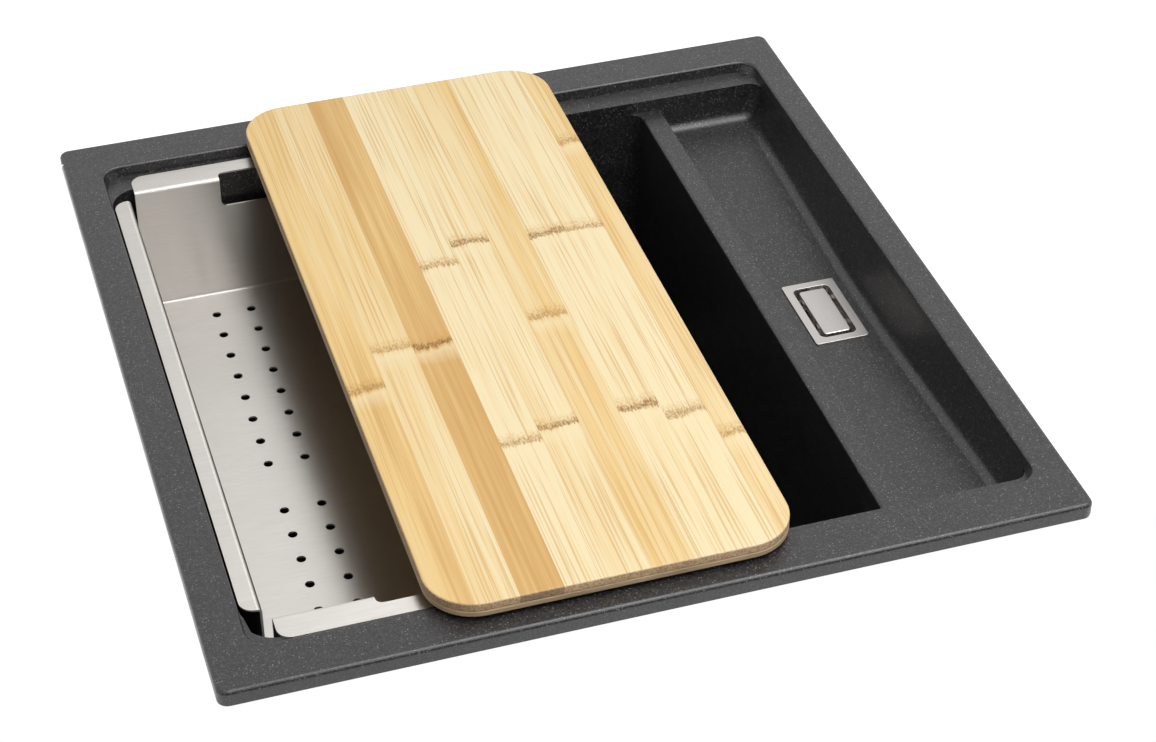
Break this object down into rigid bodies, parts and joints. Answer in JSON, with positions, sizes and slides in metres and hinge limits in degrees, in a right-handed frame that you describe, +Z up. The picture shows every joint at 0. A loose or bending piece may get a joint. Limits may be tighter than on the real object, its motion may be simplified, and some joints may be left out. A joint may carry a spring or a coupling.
{
  "type": "workstation kitchen sink",
  "caption": "Composite kitchen sink with a deep bowl, a drain shelf with an overflow, a perforated tray sliding on ledges, a bamboo board across the rim and a basket waste.",
  "frame": {"origin": "centre of the rim's underside, the plane that rests on the worktop", "axes": "+X to the right along the front edge, +Y to the back, +Z up out of the bowl"},
  "size_m": [0.48, 0.51, 0.3203],
  "materials": {
    "composite": "fine-grained dark grey quartz composite",
    "bamboo": "planed bamboo, oiled",
    "bamboo_lower": "planed bamboo, edge grain",
    "tray_steel": "satin stainless",
    "fitting_steel": "satin stainless",
    "plated_steel": "zinc plated",
    "white_plastic": "moulded",
    "seal_rubber": "matt",
    "foot_rubber": "matt"
  },
  "bodies": {
    "sink": {"sink_body": "composite", "rim_seal": "seal_rubber", "overflow_frame": "fitting_steel", "overflow_seal": "seal_rubber", "overflow_screw": "fitting_steel", "overflow_housing": "white_plastic", "housing_gasket": "seal_rubber", "overflow_pipe": "white_plastic", "pipe_nut_upper": "white_plastic", "pipe_nut_lower": "white_plastic", "pipe_washer_upper": "seal_rubber", "pipe_washer_lower": "seal_rubber", "waste_dish": "fitting_steel", "dish_gasket": "seal_rubber", "waste_gasket": "seal_rubber", "waste_body": "white_plastic", "waste_screw": "fitting_steel", "outlet_nut": "white_plastic", "outlet_washer": "seal_rubber", "fixing_clip_1": "plated_steel", "fixing_clip_2": "plated_steel", "fixing_clip_3": "plated_steel", "fixing_clip_4": "plated_steel", "clamp_screw_1": "plated_steel", "clamp_screw_2": "plated_steel", "clamp_screw_3": "plated_steel", "clamp_screw_4": "plated_steel"},
    "board": {"board_upper_ply": "bamboo", "board_lower_ply": "bamboo_lower", "board_foot_1": "foot_rubber", "board_foot_2": "foot_rubber", "board_foot_3": "foot_rubber", "board_foot_4": "foot_rubber"},
    "tray": {"colander_tray": "tray_steel"},
    "basket": {"strainer_basket": "fitting_steel", "basket_knob": "fitting_steel", "basket_seal": "seal_rubber"},
    "cover": {"overflow_cover": "fitting_steel", "cover_spring": "fitting_steel"}
  },
  "joints": [
    {"name": "board_slide", "type": "slide", "parent": "sink", "child": "board", "axis": [1, 0, 0], "range_m": [-0.115, 0.163]},
    {"name": "tray_slide", "type": "slide", "parent": "sink", "child": "tray", "axis": [1, 0, 0], "range_m": [0, 0.14]},
    {"name": "basket_lift", "type": "slide", "parent": "sink", "child": "basket", "axis": [0, 0, 1], "range_m": [0, 0.06]},
    {"name": "cover_lift", "type": "slide", "parent": "sink", "child": "cover", "axis": [0, 0, 1], "range_m": [0, 0.025]}
  ]
}
